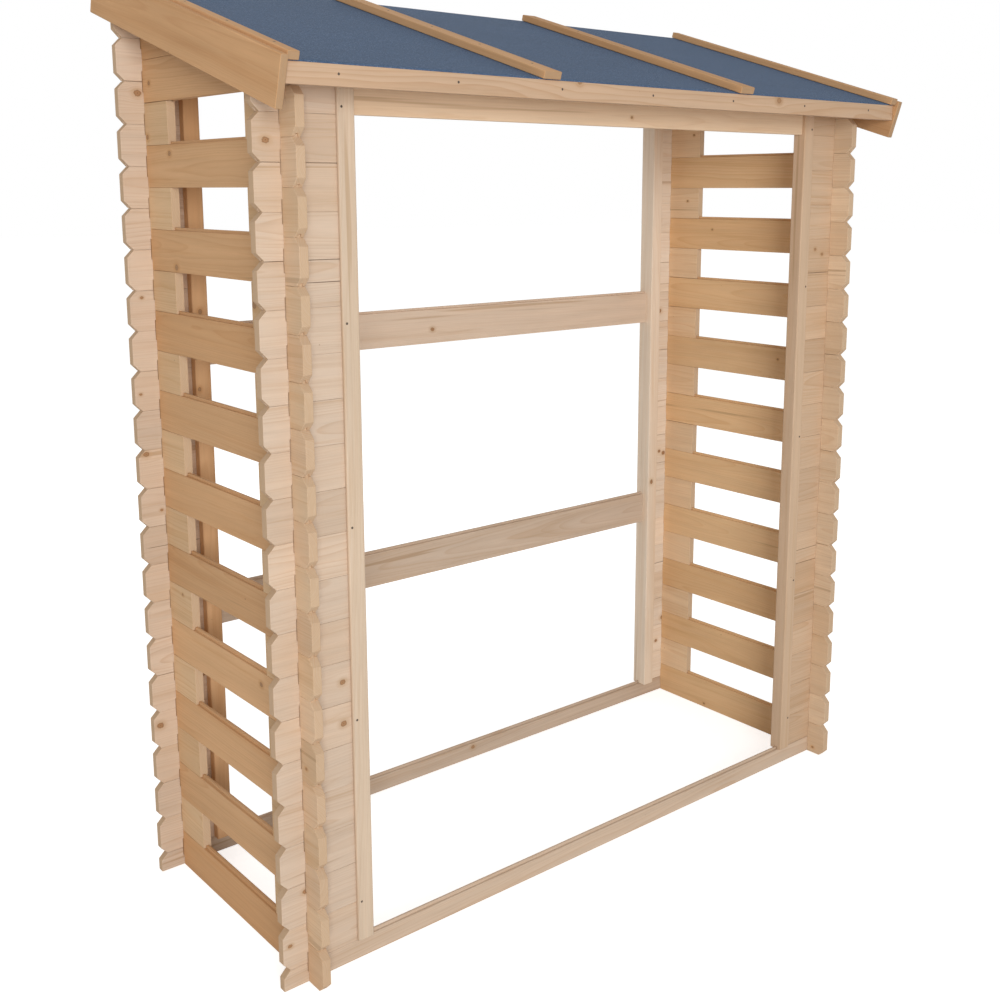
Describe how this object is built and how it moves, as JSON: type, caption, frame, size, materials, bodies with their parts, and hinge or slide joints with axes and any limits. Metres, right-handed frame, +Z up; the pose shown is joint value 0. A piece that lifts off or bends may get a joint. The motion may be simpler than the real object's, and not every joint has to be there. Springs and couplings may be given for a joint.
{
  "type": "log store",
  "caption": "Open-fronted timber log store with slatted sides, notched log-board corners, open rear rails and a lean-to felt roof falling to the front.",
  "frame": {"origin": "on the ground at the middle of the whole outline in plan, roof overhangs included", "axes": "+X along the front to the right, +Y from the open front to the rear, +Z up"},
  "size_m": [1.8286, 0.8236, 2.0861],
  "materials": {
    "front_boards": "planed bare spruce, pale, knotty",
    "side_boards": "planed bare spruce, honey tan, knotty",
    "trim_boards": "planed bare spruce trim",
    "roof_boards": "planed bare spruce roof boarding",
    "felt": "mineral-faced bitumen felt, slate blue grey, matt"
  },
  "bodies": {
    "root": {"left_slat_1": "side_boards", "left_slat_2": "side_boards", "left_slat_3": "side_boards", "left_slat_4": "side_boards", "left_slat_5": "side_boards", "left_slat_6": "side_boards", "left_slat_7": "side_boards", "left_slat_8": "side_boards", "left_slat_9": "side_boards", "left_slat_10": "side_boards", "left_slat_11": "side_boards", "left_spacer_blocks": "side_boards", "left_gable_boards": "side_boards", "left_bargeboard": "trim_boards", "right_slat_1": "side_boards", "right_slat_2": "side_boards", "right_slat_3": "side_boards", "right_slat_4": "side_boards", "right_slat_5": "side_boards", "right_slat_6": "side_boards", "right_slat_7": "side_boards", "right_slat_8": "side_boards", "right_slat_9": "side_boards", "right_slat_10": "side_boards", "right_slat_11": "side_boards", "right_spacer_blocks": "side_boards", "right_gable_boards": "side_boards", "right_bargeboard": "trim_boards", "front_left_boards": "front_boards", "front_right_boards": "front_boards", "rear_left_boards": "front_boards", "rear_right_boards": "front_boards", "front_sill": "front_boards", "rear_sill": "front_boards", "front_left_post": "trim_boards", "front_right_post": "trim_boards", "rear_left_post": "trim_boards", "rear_right_post": "trim_boards", "front_lintel": "trim_boards", "rear_rails": "trim_boards", "front_fascia": "trim_boards", "roof_boarding": "roof_boards", "roof_felt": "felt", "roof_battens": "trim_boards"}
  },
  "joints": []
}
